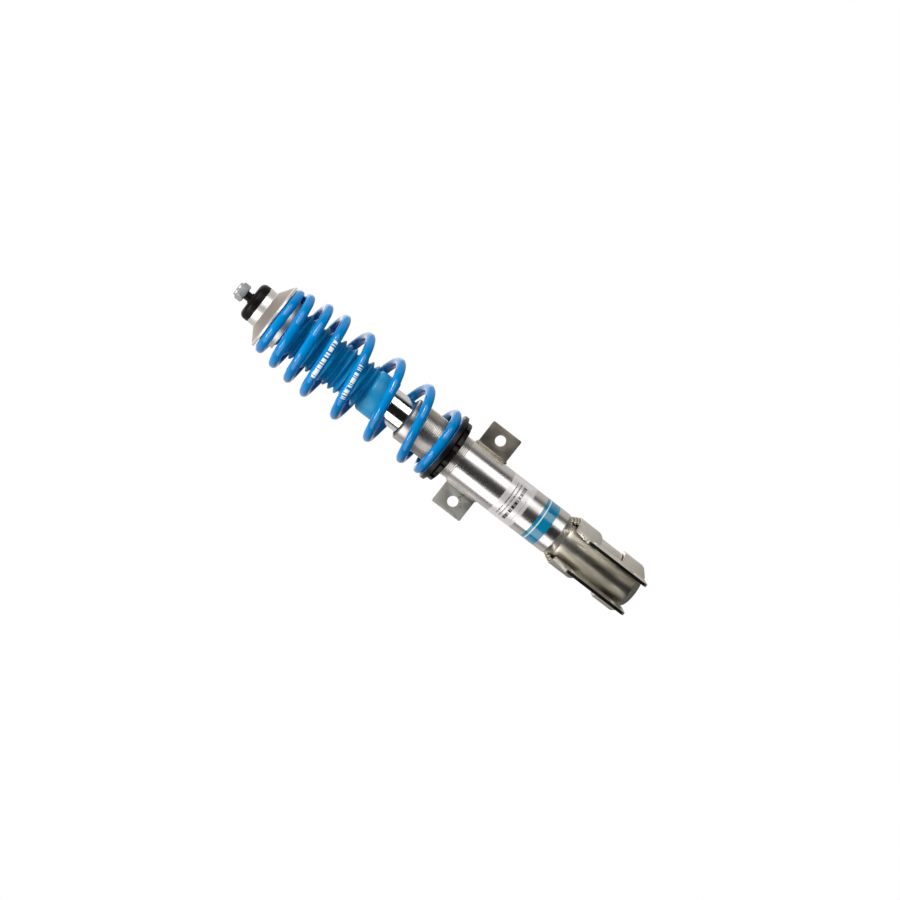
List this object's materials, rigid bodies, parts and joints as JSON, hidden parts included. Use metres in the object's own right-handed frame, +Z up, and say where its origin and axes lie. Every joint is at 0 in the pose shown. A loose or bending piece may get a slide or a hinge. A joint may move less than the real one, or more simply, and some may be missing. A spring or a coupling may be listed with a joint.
{
  "type": "strut assembly",
  "caption": "Height-adjustable inverted coil-over suspension strut with two-ear knuckle clamp, side tabs, barrel coil spring, bellows boot and threaded top stud.",
  "frame": {"origin": "centre of the foot's flat face, on the strut's axis", "axes": "+Z up the strut's axis from the closed foot to the top stud; the two ears that clamp the wheel knuckle point to -Y; the two tabs stand out along X"},
  "size_m": [0.1126, 0.1082, 0.551],
  "materials": {
    "zinc_tube": "bright zinc plated, drawn tube",
    "zinc_sheet": "zinc plated pressed steel",
    "weld_metal": "plated weld bead",
    "plated_steel": "zinc plated",
    "dark_steel": "blackened",
    "chromed_rod": "hard chrome, ground and polished",
    "sintered_iron": "sintered, sized",
    "light_alloy": "turned",
    "seat_metal": "satin",
    "black_anodised": "black anodised",
    "black_cap": "satin",
    "black_rubber": "matt",
    "bump_foam": "cellular",
    "bush_plastic": "low friction lining",
    "blue_plastic": "gloss",
    "blue_enamel": "high gloss powder coat",
    "blue_boot": "satin",
    "silver_label": "printed film",
    "blue_label": "printed film"
  },
  "bodies": {
    "housing": {"housing_tube": "zinc_tube", "housing_base": "zinc_tube", "foot_bolt": "plated_steel", "foot_washer": "plated_steel", "recess_plug": "black_rubber", "knuckle_bracket": "zinc_sheet", "knuckle_welds": "weld_metal", "tab_bracket": "zinc_sheet", "tab_welds": "weld_metal", "lower_guide_bush": "bush_plastic", "upper_guide_bush": "bush_plastic", "wiper_seal": "black_rubber", "piston_rod": "chromed_rod", "bump_washer": "plated_steel", "bump_stop": "bump_foam", "lower_valve_discs": "plated_steel", "piston": "sintered_iron", "piston_band": "bush_plastic", "upper_valve_discs": "plated_steel", "piston_nut": "plated_steel", "data_label": "silver_label", "band_label": "blue_label"},
    "perch": {"spring_perch": "black_anodised", "slip_washer": "blue_plastic", "coil_spring": "blue_enamel"},
    "ring": {"adjusting_ring": "black_anodised", "lock_screw": "dark_steel"},
    "upper_seat": {"upper_spring_seat": "seat_metal", "lower_race": "plated_steel", "dust_boot": "blue_boot"},
    "damper": {"damper_tube": "chromed_rod", "top_stud": "dark_steel", "seat_spacer": "plated_steel", "upper_race": "plated_steel", "ball_cage": "plated_steel", "bearing_cap": "black_cap", "top_nut": "plated_steel", "rod_guide": "sintered_iron", "rod_seal": "black_rubber", "guide_ring": "plated_steel", "rebound_buffer": "bump_foam"},
    "float": {"floating_piston": "light_alloy", "float_seal": "black_rubber"}
  },
  "joints": [
    {"name": "perch_height", "type": "slide", "parent": "housing", "child": "perch", "axis": [0, 0, 1], "range_m": [-0.01, 0]},
    {"name": "ring_spin", "type": "hinge", "parent": "perch", "child": "ring", "pos_m": [0, 0, 0.2584], "axis": [0, 0, 1], "range_deg": [-1800, 0]},
    {"name": "damper_stroke", "type": "slide", "parent": "perch", "child": "upper_seat", "axis": [0, 0, 1], "range_m": [-0.1, 0], "stiffness_N_per_m": 40000, "springref_m": 0.01, "deforming": ["coil_spring", "dust_boot"]},
    {"name": "steer_swivel", "type": "hinge", "parent": "upper_seat", "child": "damper", "pos_m": [0, 0, 0.523], "axis": [0, 0, 1], "range_deg": [-40, 40]},
    {"name": "float_slide", "type": "slide", "parent": "damper", "child": "float", "axis": [0, 0, 1], "range_m": [0, 0.0152]}
  ],
  "couplings": [
    {"joint": "ring_spin", "follows": "perch_height", "rad_per_m": 3141.6},
    {"joint": "float_slide", "follows": "damper_stroke", "ratio": -0.1512}
  ]
}
